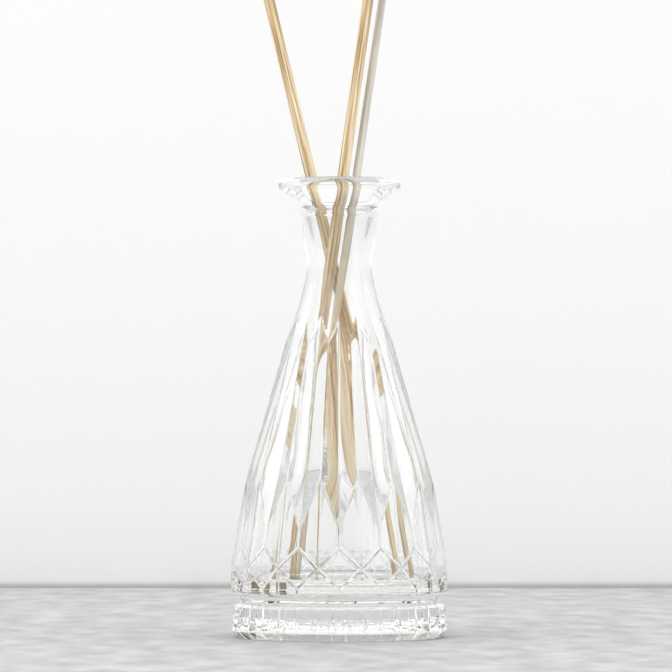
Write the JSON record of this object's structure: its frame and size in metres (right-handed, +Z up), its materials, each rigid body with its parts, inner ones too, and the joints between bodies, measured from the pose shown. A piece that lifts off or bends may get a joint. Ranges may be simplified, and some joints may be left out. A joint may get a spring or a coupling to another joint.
{
  "type": "reed diffuser",
  "caption": "Pressed-glass bottle with vertical grooves and a band of diamonds, a funnel neck, a little fragrance oil and loose rattan reeds.",
  "frame": {"origin": "centre of the bottle's flat underside", "axes": "+Z up along the bottle's axis, -Y towards the front, +X to the right seen from the front"},
  "size_m": [0.0724, 0.0724, 0.2609],
  "materials": {
    "clear_glass": "clear pressed glass, polished",
    "clear_oil": "clear, barely yellow liquid",
    "tan_rattan": "dry, finely fibred rattan",
    "pale_rattan": "dry, finely fibred rattan, bleached"
  },
  "bodies": {
    "bottle": {"glass_bottle": "clear_glass", "fragrance_oil": "clear_oil"},
    "reed_left": {"reed_left": "tan_rattan"},
    "reed_right": {"reed_right": "tan_rattan"},
    "reed_back": {"reed_back": "pale_rattan"}
  },
  "joints": [
    {"name": "reed_left_slide", "type": "slide", "parent": "bottle", "child": "reed_left", "axis": [-0.2335, -0.0582, 0.9706], "range_m": [0, 0.15]},
    {"name": "reed_right_slide", "type": "slide", "parent": "bottle", "child": "reed_right", "axis": [0.1367, -0.166, 0.9766], "range_m": [0, 0.15]},
    {"name": "reed_back_slide", "type": "slide", "parent": "bottle", "child": "reed_back", "axis": [0.1438, -0.0985, 0.9847], "range_m": [0, 0.15]}
  ]
}
